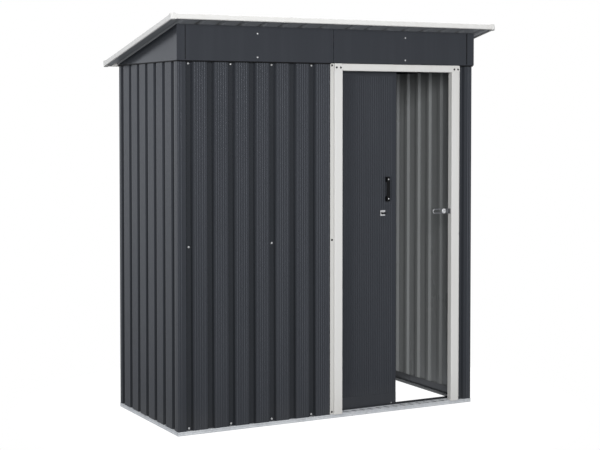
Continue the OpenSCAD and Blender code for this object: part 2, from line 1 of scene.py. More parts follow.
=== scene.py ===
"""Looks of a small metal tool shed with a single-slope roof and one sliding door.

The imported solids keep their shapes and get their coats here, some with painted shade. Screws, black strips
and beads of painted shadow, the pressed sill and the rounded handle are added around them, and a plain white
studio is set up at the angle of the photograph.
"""

from __future__ import annotations

import json
import logging
import math
from dataclasses import dataclass
from enum import Enum
from typing import Any, Callable, Iterable, Mapping, Sequence, Union

import bmesh
import bpy
from mathutils import Matrix, Vector

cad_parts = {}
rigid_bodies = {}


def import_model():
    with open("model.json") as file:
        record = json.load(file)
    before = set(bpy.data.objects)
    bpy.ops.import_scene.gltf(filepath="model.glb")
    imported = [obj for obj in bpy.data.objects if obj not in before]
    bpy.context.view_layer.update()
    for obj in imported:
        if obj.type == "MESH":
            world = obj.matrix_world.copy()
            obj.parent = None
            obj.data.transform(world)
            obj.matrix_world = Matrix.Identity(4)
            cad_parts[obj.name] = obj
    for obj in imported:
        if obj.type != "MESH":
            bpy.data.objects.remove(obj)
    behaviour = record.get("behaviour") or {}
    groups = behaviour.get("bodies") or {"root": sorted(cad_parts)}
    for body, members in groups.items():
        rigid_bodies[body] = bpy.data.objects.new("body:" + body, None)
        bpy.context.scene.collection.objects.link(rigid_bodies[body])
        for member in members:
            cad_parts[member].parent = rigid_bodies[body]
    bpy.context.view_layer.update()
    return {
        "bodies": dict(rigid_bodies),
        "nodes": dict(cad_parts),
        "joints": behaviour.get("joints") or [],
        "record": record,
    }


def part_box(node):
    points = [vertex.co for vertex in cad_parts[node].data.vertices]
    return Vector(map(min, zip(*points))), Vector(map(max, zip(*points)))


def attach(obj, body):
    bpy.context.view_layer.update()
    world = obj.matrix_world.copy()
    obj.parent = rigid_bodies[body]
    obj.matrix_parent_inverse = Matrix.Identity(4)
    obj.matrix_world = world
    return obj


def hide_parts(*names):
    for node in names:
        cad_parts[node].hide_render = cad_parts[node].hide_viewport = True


LOG = logging.getLogger("shed")
MM = 0.001
SHED = "shed"
DOOR = "door"
HASP = "hasp"
NOISE_MIDDLE = 0.5
FOLD_SAMPLES = 4
HEAD_FACES = 0
WASHER_FACES = 1

Value = Union["Wire", float, int, Sequence[float]]
FaceRule = Callable[[Vector, Vector], int]
Colour = tuple[float, float, float, float]
Point = tuple[float, float, float]
PlanPoint = tuple[tuple[float, float], tuple[int, int]]


class Wire:
    """An output socket that takes part in Python expressions on values."""

    def __init__(self, graph: Graph, socket: bpy.types.NodeSocket) -> None:
        """Keeps the socket and the graph that it belongs to."""
        self.graph = graph
        self.socket = socket

    def __add__(self, other: Value) -> Wire:
        """Returns self + other."""
        return self.graph.math("ADD", self, other)

    def __radd__(self, other: Value) -> Wire:
        """Returns other + self."""
        return self.graph.math("ADD", other, self)

    def __sub__(self, other: Value) -> Wire:
        """Returns self - other."""
        return self.graph.math("SUBTRACT", self, other)

    def __rsub__(self, other: Value) -> Wire:
        """Returns other - self."""
        return self.graph.math("SUBTRACT", other, self)

    def __mul__(self, other: Value) -> Wire:
        """Returns self * other."""
        return self.graph.math("MULTIPLY", self, other)

    def __rmul__(self, other: Value) -> Wire:
        """Returns other * self."""
        return self.graph.math("MULTIPLY", other, self)

    def swing(self, amount: float) -> Wire:
        """Returns a noise as a change around zero, by up to half an amount either way."""
        return (self - NOISE_MIDDLE) * amount


class Graph:
    """The node tree of one material or of the surround."""

    def __init__(self, owner: Union[bpy.types.Material, bpy.types.World]) -> None:
        """Empties the node tree of a new material or world.

        Args:
            owner: What the tree belongs to.
        """
        owner.use_nodes = True
        self.owner = owner
        self.tree = owner.node_tree
        self.tree.nodes.clear()

    @classmethod
    def of(cls, name: str) -> Graph:
        """Returns the graph of a new material with this name."""
        return cls(bpy.data.materials.new(name))

    def add(self, kind: str, settings: Mapping[str, Any], inputs: Mapping[str, Value] | Sequence[Value],
            out: str = "") -> Wire:
        """Adds a node of any kind.

        Args:
            kind: The node's type, such as ShaderNodeTexNoise.
            settings: Properties to set first, such as a Math node's operation.
            inputs: Values or wires for the named input sockets, or for the first ones in order.
            out: Name of the output to return, or the first one in use.

        Returns:
            The chosen output as a wire.
        """
        node = self.tree.nodes.new(kind)
        for key, value in settings.items():
            setattr(node, key, value)
        sockets = [s for s in node.inputs if s.enabled]
        if isinstance(inputs, Mapping):
            pairs = [(next(s for s in sockets if s.name == key), value) for key, value in inputs.items()]
        else:
            pairs = list(zip(sockets, inputs))
        for socket, value in pairs:
            if isinstance(value, Wire):
                self.tree.links.new(value.socket, socket)
            else:
                socket.default_value = value
        outputs = [s for s in node.outputs if s.enabled and (not out or s.name == out)]
        return Wire(self, outputs[0] if outputs else None)

    def math(self, operation: str, a: Value, b: Value) -> Wire:
        """Adds a Math node on two values and returns its result."""
        return self.add("ShaderNodeMath", {"operation": operation}, [a, b])

    def noise(self, scale: float, detail: float, stretch: Sequence[float] = (1, 1, 1)) -> Wire:
        """Adds noise in object coordinates.

        Args:
            scale: Cells for each metre.
            detail: Octaves of finer noise.
            stretch: Scale along each axis, smaller for longer streaks.

        Returns:
            A value around 0.5.
        """
        coordinates = self.add("ShaderNodeTexCoord", {}, {}, "Object")
        mapped = self.add("ShaderNodeMapping", {}, {"Vector": coordinates, "Scale": stretch})
        return self.add("ShaderNodeTexNoise", {}, {"Vector": mapped, "Scale": scale, "Detail": detail})

    def mix(self, factor: Value, a: Value, b: Value) -> Wire:
        """Returns the colour a blended towards b by a factor."""
        return self.add("ShaderNodeMix", {"data_type": "RGBA"}, {"Factor": factor, "A": a, "B": b})

    def ramp(self, value: Wire, low: float, high: float) -> Wire:
        """Returns 0 where a value is at low and 1 where it is at high, eased between."""
        return self.add("ShaderNodeMapRange", {"interpolation_type": "SMOOTHSTEP"},
                        {"Value": value, "From Min": low, "From Max": high})

    def height(self) -> Wire:
        """Returns the height above the ground, in metres."""
        coordinates = self.add("ShaderNodeTexCoord", {}, {}, "Object")
        return self.add("ShaderNodeSeparateXYZ", {}, {"Vector": coordinates}, "Z")

    def relief(self, pattern: Wire, strength: float, depth: float, fold_radius: float = 0.0) -> Wire:
        """Adds a fine relief, on softened folds where a radius is given.

        Args:
            pattern: Heights of the relief, from 0 to 1.
            strength: Share of the relief that shows.
            depth: Depth of the relief in metres.
            fold_radius: Radius of the folds in metres, or 0 to leave edges as they are.

        Returns:
            The bent normal.
        """
        inputs: dict[str, Value] = {"Strength": strength, "Distance": depth, "Height": pattern}
        if fold_radius:
            settings = {"samples": FOLD_SAMPLES}
            inputs["Normal"] = self.add("ShaderNodeBevel", settings, {"Radius": fold_radius})
        return self.add("ShaderNodeBump", {}, inputs)

    def surface(self, fixed: Mapping[str, Value], varying: Mapping[str, Wire]) -> bpy.types.Material:
        """Closes the material with a Principled shader.

        Args:
            fixed: Numbers and colours that are the same all over.
            varying: Wires for the sockets that change over the surface.

        Returns:
            The finished material.
        """
        shader = self.add("ShaderNodeBsdfPrincipled", {}, {**fixed, **varying}, "BSDF")
        self.add("ShaderNodeOutputMaterial", {}, {"Surface": shader})
        return self.owner


def rgb(red: int, green: int, blue: int) -> Colour:
    """Turns a display colour of 0 to 255 into a linear one."""
    shares = [c / 255 for c in (red, green, blue)]
    linear = [c / 12.92 if c <= 0.04045 else ((c + 0.055) / 1.055) ** 2.4 for c in shares]
    return (*linear, 1.0)


def grey(level: float) -> Colour:
    """Returns a neutral linear colour."""
    return (level, level, level, 1.0)


def shade(colour: Colour, factor: float) -> Colour:
    """Returns a colour made darker or lighter by a factor."""
    red, green, blue, alpha = colour
    return (factor * red, factor * green, factor * blue, alpha)


@dataclass(frozen=True)
class CoatedSteel:
    """Roller-coated steel sheet: a satin coat with faint streaks, a fine orange peel and dust low down."""

    name: str
    colour: Colour
    streak: Colour
    dust: Colour
    roughness: float
    specular: float
    fold_radius: float = 0.7 * MM
    gloss: Colour = (0.9, 0.93, 1.0, 1.0)
    streak_share: float = 0.55
    dust_share: float = 0.5
    dust_top: float = 0.16
    dust_waver: float = 0.12
    cloud_rough: float = 0.16
    streak_rough: float = 0.1
    peel_strength: float = 0.06
    peel_depth: float = 0.4 * MM

    def build(self) -> bpy.types.Material:
        """Returns the coat as a material."""
        g = Graph.of(self.name)
        cloud = g.noise(scale=3.0, detail=3.0)
        streaks = g.noise(scale=26.0, detail=4.0, stretch=(1.0, 1.0, 0.045))
        peel = g.noise(scale=620.0, detail=2.0)
        tint = g.mix(g.ramp(streaks, low=0.42, high=0.74) * self.streak_share, self.colour, self.streak)
        near_ground = g.ramp(g.height() + cloud.swing(self.dust_waver), low=self.dust_top, high=0.0)
        settled = near_ground * g.ramp(cloud, low=0.3, high=0.75) * self.dust_share
        colour = g.mix(settled, tint, self.dust)
        rough = self.roughness + cloud.swing(self.cloud_rough) + streaks.swing(self.streak_rough)
        normal = g.relief(peel, self.peel_strength, self.peel_depth, self.fold_radius)
        return g.surface({"Specular IOR Level": self.specular, "Specular Tint": self.gloss},
                         {"Base Color": colour, "Roughness": rough, "Normal": normal})


@dataclass(frozen=True)
class Galvanised:
    """Hot-dip zinc on folded steel, with spangles, duller patches and fine scratches."""

    name: str
    bright: Colour
    dull: Colour
    spangles: float = 95.0
    spangle_share: float = 0.45
    patch_share: float = 0.4
    roughness: float = 0.34
    spangle_rough: float = 0.16
    cloud_rough: float = 0.12
    metallic: float = 0.3
    fold_radius: float = 1.2 * MM
    scratch_strength: float = 0.08
    scratch_depth: float = 0.3 * MM

    def build(self) -> bpy.types.Material:
        """Returns the zinc as a material."""
        g = Graph.of(self.name)
        coordinates = g.add("ShaderNodeTexCoord", {}, {}, "Object")
        cells = g.add("ShaderNodeTexVoronoi", {}, {"Vector": coordinates, "Scale": self.spangles}, "Color")
        spangle = g.add("ShaderNodeRGBToBW", {}, {"Color": cells})
        cloud = g.noise(scale=7.0, detail=4.0)
        patches = g.ramp(cloud, low=0.35, high=0.75)
        colour = g.mix(spangle * self.spangle_share + patches * self.patch_share, self.bright, self.dull)
        rough = self.roughness + spangle * self.spangle_rough + cloud.swing(self.cloud_rough)
        scratches = g.noise(scale=240.0, detail=3.0, stretch=(0.06, 1.0, 1.0))
        normal = g.relief(scratches, self.scratch_strength, self.scratch_depth, self.fold_radius)
        return g.surface({"Metallic": self.metallic},
                         {"Base Color": colour, "Roughness": rough, "Normal": normal})


@dataclass(frozen=True)
class PlatedSteel:
    """Zinc plate on screws, staple and hasp."""

    name: str
    colour: Colour
    roughness: float = 0.26
    cloud_rough: float = 0.2
    dull_share: float = 0.35
    dull_factor: float = 0.7
    metallic: float = 0.6

    def build(self) -> bpy.types.Material:
        """Returns the plating as a material."""
        g = Graph.of(self.name)
        cloud = g.noise(scale=160.0, detail=3.0)
        rough = self.roughness + cloud.swing(self.cloud_rough)
        dull = g.ramp(cloud, low=0.4, high=0.8) * self.dull_share
        colour = g.mix(dull, self.colour, shade(self.colour, self.dull_factor))
        return g.surface({"Metallic": self.metallic}, {"Base Color": colour, "Roughness": rough})


@dataclass(frozen=True)
class MouldedPlastic:
    """Black moulded plastic or rubber with a fine spark-eroded grain."""

    name: str
    colour: Colour
    pale_share: float = 0.3
    pale_factor: float = 1.8
    roughness: float = 0.55
    cloud_rough: float = 0.15
    specular: float = 0.25
    grain_strength: float = 0.2
    grain_depth: float = 0.2 * MM

    def build(self) -> bpy.types.Material:
        """Returns the plastic as a material."""
        g = Graph.of(self.name)
        grain = g.noise(scale=1500.0, detail=2.0)
        cloud = g.noise(scale=40.0, detail=2.0)
        colour = g.mix(cloud * self.pale_share, self.colour, shade(self.colour, self.pale_factor))
        rough = self.roughness + cloud.swing(self.cloud_rough)
        normal = g.relief(grain, self.grain_strength, self.grain_depth)
        return g.surface({"Specular IOR Level": self.specular},
                         {"Base Color": colour, "Roughness": rough, "Normal": normal})


@dataclass(frozen=True)
class StudioPaper:
    """Studio floor that the camera sees as plain white, and that throws little light back."""

    name: str
    colour: Colour
    seen_glow: float
    cast_glow: float
    cloud_share: float = 0.25
    cloud_factor: float = 0.98
    roughness: float = 0.9
    specular: float = 0.1

    def build(self) -> bpy.types.Material:
        """Returns the paper as a material, lit from below like a light table."""
        g = Graph.of(self.name)
        cloud = g.noise(scale=0.6, detail=2.0)
        colour = g.mix(cloud * self.cloud_share, self.colour, shade(self.colour, self.cloud_factor))
        seen = g.add("ShaderNodeLightPath", {}, {}, "Is Camera Ray")
        glow = g.mix(seen, grey(self.cast_glow), grey(self.seen_glow))
        return g.surface({"Roughness": self.roughness, "Specular IOR Level": self.specular,
                          "Emission Strength": 1.0},
                         {"Base Color": colour, "Emission Color": glow})


class Finish(Enum):
    """The finishes of the shed, by name."""

    COAT = CoatedSteel("anthracite_coat", rgb(42, 44, 48), rgb(47, 49, 53), rgb(60, 60, 60),
                       roughness=0.22, specular=0.42)
    # Groove floors: a darker copy of the anthracite coat, painted shade in the recesses.
    GROOVE_SHADE = CoatedSteel("groove_painted_shade_coat", rgb(33, 35, 38), rgb(37, 39, 42), rgb(48, 48, 48),
                         roughness=0.24, specular=0.36)
    BACK = CoatedSteel("grey_back_coat", rgb(122, 124, 124), rgb(132, 134, 134), rgb(130, 130, 129),
                       roughness=0.3, specular=0.6)
    UNDER = CoatedSteel("roof_back_coat", rgb(136, 138, 141), rgb(142, 144, 147), rgb(142, 142, 142),
                        roughness=0.3, specular=0.45)
    UPSTAND = CoatedSteel("upstand_coat", rgb(84, 86, 89), rgb(90, 92, 95), rgb(90, 90, 90),
                          roughness=0.3, specular=0.45)
    WHITE = CoatedSteel("white_coat", rgb(194, 193, 190), rgb(189, 187, 183), rgb(180, 177, 172),
                        roughness=0.4, specular=0.4)
    # The jamb's flange: a darker copy of the white coat, painted shade where it lies back against the wall.
    FLANGE_SHADE = CoatedSteel("flange_painted_shade_coat", rgb(182, 181, 177), rgb(178, 176, 172), rgb(172, 170, 165),
                         roughness=0.42, specular=0.35)
    # Dark paint of the frame's screws, also painted shade on the staple's eye.
    DARK_PAINT_AND_SHADE = CoatedSteel("screw_paint_and_eye_shade", rgb(22, 22, 24), rgb(30, 30, 32), rgb(40, 40, 40),
                              roughness=0.5, specular=0.2, fold_radius=0.3 * MM)
    ZINC = Galvanised("galvanised_steel", rgb(206, 208, 210), rgb(166, 169, 173))
    # Pressed marks of the sill: a dark copy of the zinc, painted shade and painted dark reflection.
    MARK_SHADE_ZINC = Galvanised("zinc_painted_mark_shade", rgb(92, 94, 98), rgb(74, 76, 80))
    PLATE = PlatedSteel("bright_plate", rgb(214, 214, 214))
    DULL_PLATE = PlatedSteel("dull_plate", rgb(108, 109, 112), roughness=0.36)
    BLACK = MouldedPlastic("black_plastic", rgb(8, 8, 9))
    WASHER = MouldedPlastic("washer_rubber", rgb(46, 47, 49))
    PAPER = StudioPaper("studio_paper", rgb(84, 84, 84), seen_glow=1.0, cast_glow=0.06)


class Palette:
    """Builds each finish once and hands out its material."""

    def __init__(self) -> None:
        """Starts with no materials."""
        self._made: dict[Finish, bpy.types.Material] = {}

    def get(self, finish: Finish) -> bpy.types.Material:
        """Returns the material of a finish."""
        if finish not in self._made:
            self._made[finish] = finish.value.build()
        return self._made[finish]


def loft(shape: bmesh.types.BMesh,
         rings: Sequence[Sequence[bmesh.types.BMVert]]) -> list[list[bmesh.types.BMFace]]:
    """Closes a row of rings into one solid skin with capped ends.

    Args:
        shape: The mesh that holds the rings.
        rings: Rings with the same number of vertices, in order.

    Returns:
        The faces between each ring and the next, in the order of the ring's vertices.
    """
    bands = []
    for lower, upper in zip(rings, rings[1:]):
        band = []
        for i in range(len(lower)):
            j = (i + 1) % len(lower)
            band.append(shape.faces.new((lower[i], lower[j], upper[j], upper[i])))
        bands.append(band)
    shape.faces.new(list(reversed(rings[0])))
    shape.faces.new(rings[-1])
    return bands


class Facing(Enum):
    """Sides that a sheet or a screw can look to."""

    FRONT = (0.0, -1.0, 0.0)
    BACK = (0.0, 1.0, 0.0)
    LEFT = (-1.0, 0.0, 0.0)
    RIGHT = (1.0, 0.0, 0.0)
    UP = (0.0, 0.0, 1.0)

    def frame(self, point: Sequence[float]) -> Matrix:
        """Returns the frame of a screw at a point that looks this way."""
        turn = Vector(self.value).to_track_quat("Z", "Y").to_matrix().to_4x4()
        return Matrix.Translation(Vector(point)) @ turn

    def inner(self, tilt: float = 0.05) -> FaceRule:
        """Makes a rule that gives 1 to faces that look away from this side by more than a tilt."""
        direction = Vector(self.value)
        return lambda middle, normal: int(normal.dot(direction) < -tilt)


@dataclass(frozen=True)
class ScrewHead:
    """Pan-head screw with a cross recess, on an optional rubber-backed washer.

    The recess, the washer's rim and its seat are shares of the head's and the washer's sizes.
    """

    head_r: float = 4.6 * MM
    head_h: float = 2.6 * MM
    washer_r: float = 7.0 * MM
    washer_h: float = 1.1 * MM
    segments: int = 24
    dome_steps: int = 7
    dome_fullness: float = 0.8
    recess_depth: float = 0.55
    recess_reach: float = 0.62
    recess_sharpness: int = 6
    rim_height: float = 0.6
    rim_reach: float = 0.9
    seat_reach: float = 0.5

    def add(self, shape: bmesh.types.BMesh, place: Matrix, turn: float, washer: bool) -> None:
        """Adds one screw to a mesh.

        Args:
            shape: The mesh that gathers the screws.
            place: Frame of the screw, +Z out of the sheet.
            turn: Angle of the recess.
            washer: True for a screw with a washer.
        """
        base = 0.0
        if washer:
            rim = [(self.washer_r, 0.0), (self.washer_r, self.rim_height * self.washer_h),
                   (self.rim_reach * self.washer_r, self.washer_h),
                   (self.seat_reach * self.head_r, self.washer_h)]
            self._revolve(shape, place, rim, turn, WASHER_FACES, 0.0)
            base = self.washer_h
        dome = [(self.head_r, base)]
        for step in range(1, self.dome_steps):
            angle = step / self.dome_steps * math.pi / 2
            dome.append((self.head_r * math.cos(angle) ** self.dome_fullness,
                         base + self.head_h * math.sin(angle)))
        self._revolve(shape, place, dome, turn, HEAD_FACES, self.recess_depth * self.head_h)

    def _revolve(self, shape: bmesh.types.BMesh, place: Matrix, profile: Sequence[tuple[float, float]],
                 turn: float, slot: int, recess: float) -> None:
        """Turns a profile about the screw's axis and closes it.

        Args:
            shape: The mesh that gathers the screws.
            place: Frame of the screw.
            profile: Radius and height of each ring, outermost first.
            turn: Angle of the recess.
            slot: Material slot of the faces.
            recess: Depth of the cross pressed into the inner rings.
        """
        reach = self.recess_reach * self.head_r
        rings = []
        for radius, height in profile:
            ring = []
            for i in range(self.segments):
                angle = 2 * math.pi * i / self.segments
                cross = abs(math.cos(2 * angle)) ** self.recess_sharpness if radius < reach else 0.0
                point = Vector((radius * math.cos(angle + turn), radius * math.sin(angle + turn),
                                height - recess * cross))
                ring.append(shape.verts.new(place @ point))
            rings.append(ring)
        for outer, inner in zip(rings, rings[1:]):
            for i in range(self.segments):
                j = (i + 1) % self.segments
                shape.faces.new((outer[i], outer[j], inner[j], inner[i])).material_index = slot
        last = rings[-1]
        centre = shape.verts.new(place @ Vector((0, 0, profile[-1][1] - recess)))
        for i in range(self.segments):
            j = (i + 1) % self.segments
            shape.faces.new((last[i], last[j], centre)).material_index = slot
        shape.faces.new(list(reversed(rings[0]))).material_index = slot


@dataclass(frozen=True)
class Screw:
    """One screw in place: its head, the side it looks to, its foot and the turn of its recess."""

    head: ScrewHead
    facing: Facing
    foot: Sequence[float]
    turn: float
    washer: bool = False


class Workshop:
    """The loaded frame, its objects and the materials, shared by all sub-assemblies."""

    def __init__(self, frame: Mapping[str, Any]) -> None:
        """Keeps the frame.
        """
        self.nodes = frame["nodes"]
        self.palette = Palette()

    def coat(self, names: Iterable[str], finishes: Sequence[Finish], rule: FaceRule | None = None) -> None:
        """Dresses nodes of the frame.

        Args:
            names: The nodes.
            finishes: Their finishes, the first on every face that the rule doesn't move.
            rule: Gives the index of a face's finish from its middle and normal.
        """
        for name in names:
            mesh = self.nodes[name].data
            mesh.materials.clear()
            for finish in finishes:
                mesh.materials.append(self.palette.get(finish))
            for face in mesh.polygons:
                face.material_index = rule(face.center, face.normal) if rule else 0
            LOG.info("dressed %s in %s", name, ", ".join(f.value.name for f in finishes))

    def piece(self, name: str, shape: bmesh.types.BMesh, finishes: Sequence[Finish], body: str, slot: str,
              smooth_deg: float = 35.0) -> bpy.types.Object:
        """Turns a mesh into a piece that rides on a body.

        Args:
            name: The piece's name.
            shape: The mesh in metres; it is freed.
            finishes: The finishes of its material slots.
            body: The body that it moves with.
            slot: The record's material slot; not used.
            smooth_deg: Edges under this angle are shaded smooth.

        Returns:
            The new object.
        """
        bmesh.ops.recalc_face_normals(shape, faces=shape.faces)
        mesh = bpy.data.meshes.new(name)
        shape.to_mesh(mesh)
        shape.free()
        for finish in finishes:
            mesh.materials.append(self.palette.get(finish))
        mesh.shade_smooth()
        mesh.set_sharp_from_angle(angle=math.radians(smooth_deg))
        piece = bpy.data.objects.new(name, mesh)
        bpy.context.scene.collection.objects.link(piece)
        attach(piece, body)
        LOG.info("made %s with %d faces", name, len(mesh.polygons))
        return piece

    def screws(self, name: str, screws: Iterable[Screw], finishes: Sequence[Finish], body: str,
               slot: str) -> None:
        """Makes one piece of many screws.

        Args:
            name: The piece's name.
            screws: The screws in place.
            finishes: Finish of the heads, and of the washers where there are any.
            body: The body that they move with.
            slot: The record's material slot.
        """
        shape = bmesh.new()
        for screw in screws:
            screw.head.add(shape, screw.facing.frame(screw.foot), screw.turn, screw.washer)
        self.piece(name, shape, finishes, body, slot)


@dataclass
class Base:
    """Galvanised base rails, the sloped sill and the bottom track."""

    shop: Workshop
    upstand_from: float = 1 * MM
    upstand_tilt: float = 0.5
    sill_rise: float = 6 * MM
    sheet_t: float = 1.2 * MM
    mark_h: float = 1.4 * MM
    mark_w: float = 17 * MM
    mark_pitch: float = 44 * MM
    mark_lean: float = 17 * MM
    mark_ends: tuple[float, float] = (0.02, 0.72)
    mark_fade: float = 0.12
    mark_shade_from: float = 0.3
    column: float = 1.25 * MM
    rows: int = 14
    sill_smooth_deg: float = 50.0

    def __post_init__(self) -> None:
        """Reads the height of the rails' ledge from a post that stands on it."""
        self.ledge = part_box("corner_post_front_left")[0][2]

    def dress(self) -> None:
        """Coats the rails: bare zinc outside, darker upstands inside."""
        rails = {"base_rail_front": Facing.FRONT, "base_rail_back": Facing.BACK,
                 "base_rail_left": Facing.LEFT, "base_rail_right": Facing.RIGHT}
        for name, facing in rails.items():
            self.shop.coat([name], (Finish.ZINC, Finish.UPSTAND), self._rail_rule(facing))
        self.shop.coat(["door_sill"], (Finish.ZINC,))
        self.shop.coat(["door_track_bottom"], (Finish.COAT,))

    def _rail_rule(self, facing: Facing) -> FaceRule:
        """Makes a rule that gives 1 to the inner side of a rail and to its upstand."""
        inner = facing.inner(self.upstand_tilt)
        return lambda middle, normal: inner(middle, normal) or int(middle.z > self.ledge + self.upstand_from)

    def build(self) -> None:
        """Adds the sloped sill with its slanted pressings, dark with painted shade, in place of the plainer
        solid.
        """
        low, high = (Vector(c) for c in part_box("door_sill"))
        columns = round((high.x - low.x) / self.column)
        shape = bmesh.new()
        rings = []
        for i in range(columns + 1):
            x = low.x + (high.x - low.x) * i / columns
            rings.append([shape.verts.new((x, y, z)) for y, z in self._outline(low, high, x - low.x)])
        for i, band in enumerate(loft(shape, rings)):
            for k, face in enumerate(band[:self.rows]):
                pressed = self._pressing((i + 0.5) * self.column, (k + 0.5) / self.rows)
                # Faces high on a pressed mark get the dark zinc: painted shade and painted dark reflection.
                face.material_index = int(pressed > self.mark_shade_from)
        sill = self.shop.piece("sill_sheet", shape, (Finish.ZINC, Finish.MARK_SHADE_ZINC), SHED, "galvanised",
                               self.sill_smooth_deg)
        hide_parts("door_sill")

    def _outline(self, low: Vector, high: Vector, along: float) -> list[tuple[float, float]]:
        """Works out a section of the sill: the sloped sheet and its fold down at the back.

        Args:
            low: Lowest corner of the sill's place.
            high: Highest corner of the sill's place.
            along: Distance from the sill's left end.

        Returns:
            The closed outline in Y and Z, upper side first.
        """
        lower = []
        for k in range(self.rows + 1):
            share = k / self.rows
            z = self.ledge + self.sill_rise * share + self.mark_h * self._pressing(along, share)
            lower.append((low.y + (high.y - low.y) * share, z))
        upper = [(y, z + self.sheet_t) for y, z in lower]
        inner_y = high.y - self.sheet_t
        fold = [(high.y, low.z), (inner_y, low.z)]
        return upper + fold + [(min(y, inner_y), z) for y, z in reversed(lower)]

    def _pressing(self, along: float, share: float) -> float:
        """Gives the height of the pressed marks as a share of their full height.

        Args:
            along: Distance from the left end of the sill.
            share: Place between the front edge, 0, and the crest, 1.

        Returns:
            0 on the plain sheet, 1 along the middle of a mark.
        """
        offset = along - self.mark_lean * (1 - 2 * share)
        distance = abs(offset % self.mark_pitch - self.mark_pitch / 2)
        if distance > self.mark_w / 2:
            return 0.0
        start, end = self.mark_ends
        fade = min(1.0, max(0.0, min(share - start, end - share) / self.mark_fade))
        return fade * math.cos(math.pi * distance / self.mark_w) ** 2


@dataclass(frozen=True)
class Grooves:
    """Places of the grooves of a ribbed sheet, from its corner."""

    end_pan: float = 38.5 * MM
    width: float = 33.5 * MM
    pitch: float = 100.5 * MM
    depth: float = 12 * MM
    floor_from: float = 0.7

    def middle(self, index: int) -> float:
        """Returns the distance from the corner of the sheet to the middle of a groove."""
        return self.end_pan + self.width / 2 + index * self.pitch


@dataclass
class Walls:
    """Ribbed wall sheets, corner posts, rails and their screws."""

    shop: Workshop
    grooves: Grooves = Grooves()
    head: ScrewHead = ScrewHead()
    turn_step: float = 0.7
    post_t: float = 1.0 * MM
    low_row: float = 27 * MM
    middle_row: float = 815 * MM
    top_row: float = 1607 * MM
    row_grooves: tuple[int, ...] = (0, 2, 4, 6)
    middle_grooves: tuple[int, ...] = (0, 4)

    def __post_init__(self) -> None:
        """Reads the wall lines from the corner posts."""
        low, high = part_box("corner_post_front_left")[0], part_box("corner_post_back_right")[1]
        self.left = low[0] + self.post_t
        self.front = low[1] + self.post_t
        self.right = high[0] - self.post_t
        self.back = high[1] - self.post_t

    def dress(self) -> None:
        """Coats the sheets outside and inside, with painted shade on the groove floors, and the posts and
        rails.
        """
        sheets = (("front_wall_sheet", Facing.FRONT, -self.front),
                  ("left_wall_sheet", Facing.LEFT, -self.left),
                  ("right_wall_sheet", Facing.RIGHT, self.right),
                  ("back_wall_sheet_left", Facing.BACK, self.back),
                  ("back_wall_sheet_right", Facing.BACK, self.back))
        for name, facing, line in sheets:
            # Groove floors get the darker coat: painted shade in the recesses.
            self.shop.coat([name], (Finish.COAT, Finish.BACK, Finish.GROOVE_SHADE), self._sheet_rule(facing, line))
        self.shop.coat(["front_wall_strip"], (Finish.COAT, Finish.BACK), Facing.FRONT.inner())
        posts = [n for n in self.shop.nodes if n.startswith("corner_post")]
        rails = [n for n in self.shop.nodes if n.startswith("top_rail")]
        self.shop.coat([*posts, *rails, "front_wall_brace"], (Finish.COAT,))

    def _sheet_rule(self, facing: Facing, line: float) -> FaceRule:
        """Makes a rule that gives 1 to a sheet's inner side and 2 to its groove floors, which get painted
        shade.

        Args:
            facing: Side that the sheet looks to.
            line: Distance of the sheet's outer face from the origin, along that side.

        Returns:
            The rule.
        """
        inner = facing.inner()
        direction = Vector(facing.value)
        floor = line - self.grooves.floor_from * self.grooves.depth
        return lambda middle, normal: inner(middle, normal) or (2 if middle.dot(direction) < floor else 0)

    def build(self) -> None:
        """Adds the screws of the four walls, each on the floor of a groove."""
        depth = self.grooves.depth
        rows = (self.low_row, self.top_row)
        across = [self.grooves.middle(k) for k in self.row_grooves]
        front = [(self.left + a, self.front + depth, z) for z in rows for a in across]
        front += [(self.left + self.grooves.middle(k), self.front + depth, self.middle_row)
                  for k in self.middle_grooves]
        left = [(self.left + depth, self.front + a, z) for z in rows for a in across]
        right = [(self.right - depth, self.front + a, z) for z in rows for a in across]
        back = [(x, self.back - depth, z) for z in rows for a in across
                for x in (self.left + a, self.right - a)]
        self._screws("front_wall_screws", Facing.FRONT, front)
        self._screws("left_wall_screws", Facing.LEFT, left)
        self._screws("right_wall_screws", Facing.RIGHT, right)
        self._screws("back_wall_screws", Facing.BACK, back)

    def _screws(self, name: str, facing: Facing, feet: Iterable[Point]) -> None:
        """Makes one piece of the washered screws of a wall.

        Args:
            name: The piece's name.
            facing: Side that the wall looks to.
            feet: Foot of each screw.
        """
        screws = [Screw(self.head, facing, foot, self.turn_step * count, True)
                  for count, foot in enumerate(feet)]
        self.shop.screws(name, screws, (Finish.PLATE, Finish.WASHER), SHED, "bright_steel")


